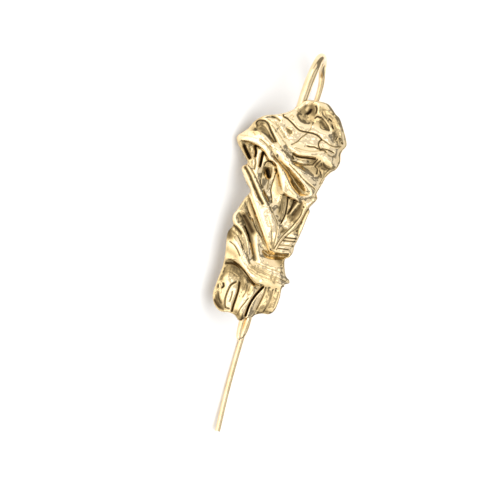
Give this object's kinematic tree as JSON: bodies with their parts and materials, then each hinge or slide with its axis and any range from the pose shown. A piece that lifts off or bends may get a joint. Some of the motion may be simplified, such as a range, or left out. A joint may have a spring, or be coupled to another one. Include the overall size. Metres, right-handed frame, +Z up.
{
  "type": "ear cuff",
  "caption": "Crumpled polished gold ear cuff: a cast front on a tapered ear wire that hooks over the ear and runs down behind it.",
  "frame": {"origin": "middle of the cuff's footprint on the surface it lies on, at the height of that surface", "axes": "+X along the cuff, from the hook towards the tail; +Z up; the crumpled front faces -Y and up, about 43 degrees above level"},
  "size_m": [0.0762, 0.0176, 0.0158],
  "materials": {
    "gold": "mirror polished gold plate with the cast skin's fine unevenness"
  },
  "bodies": {
    "root": {"ear_cuff": "gold"}
  },
  "joints": []
}
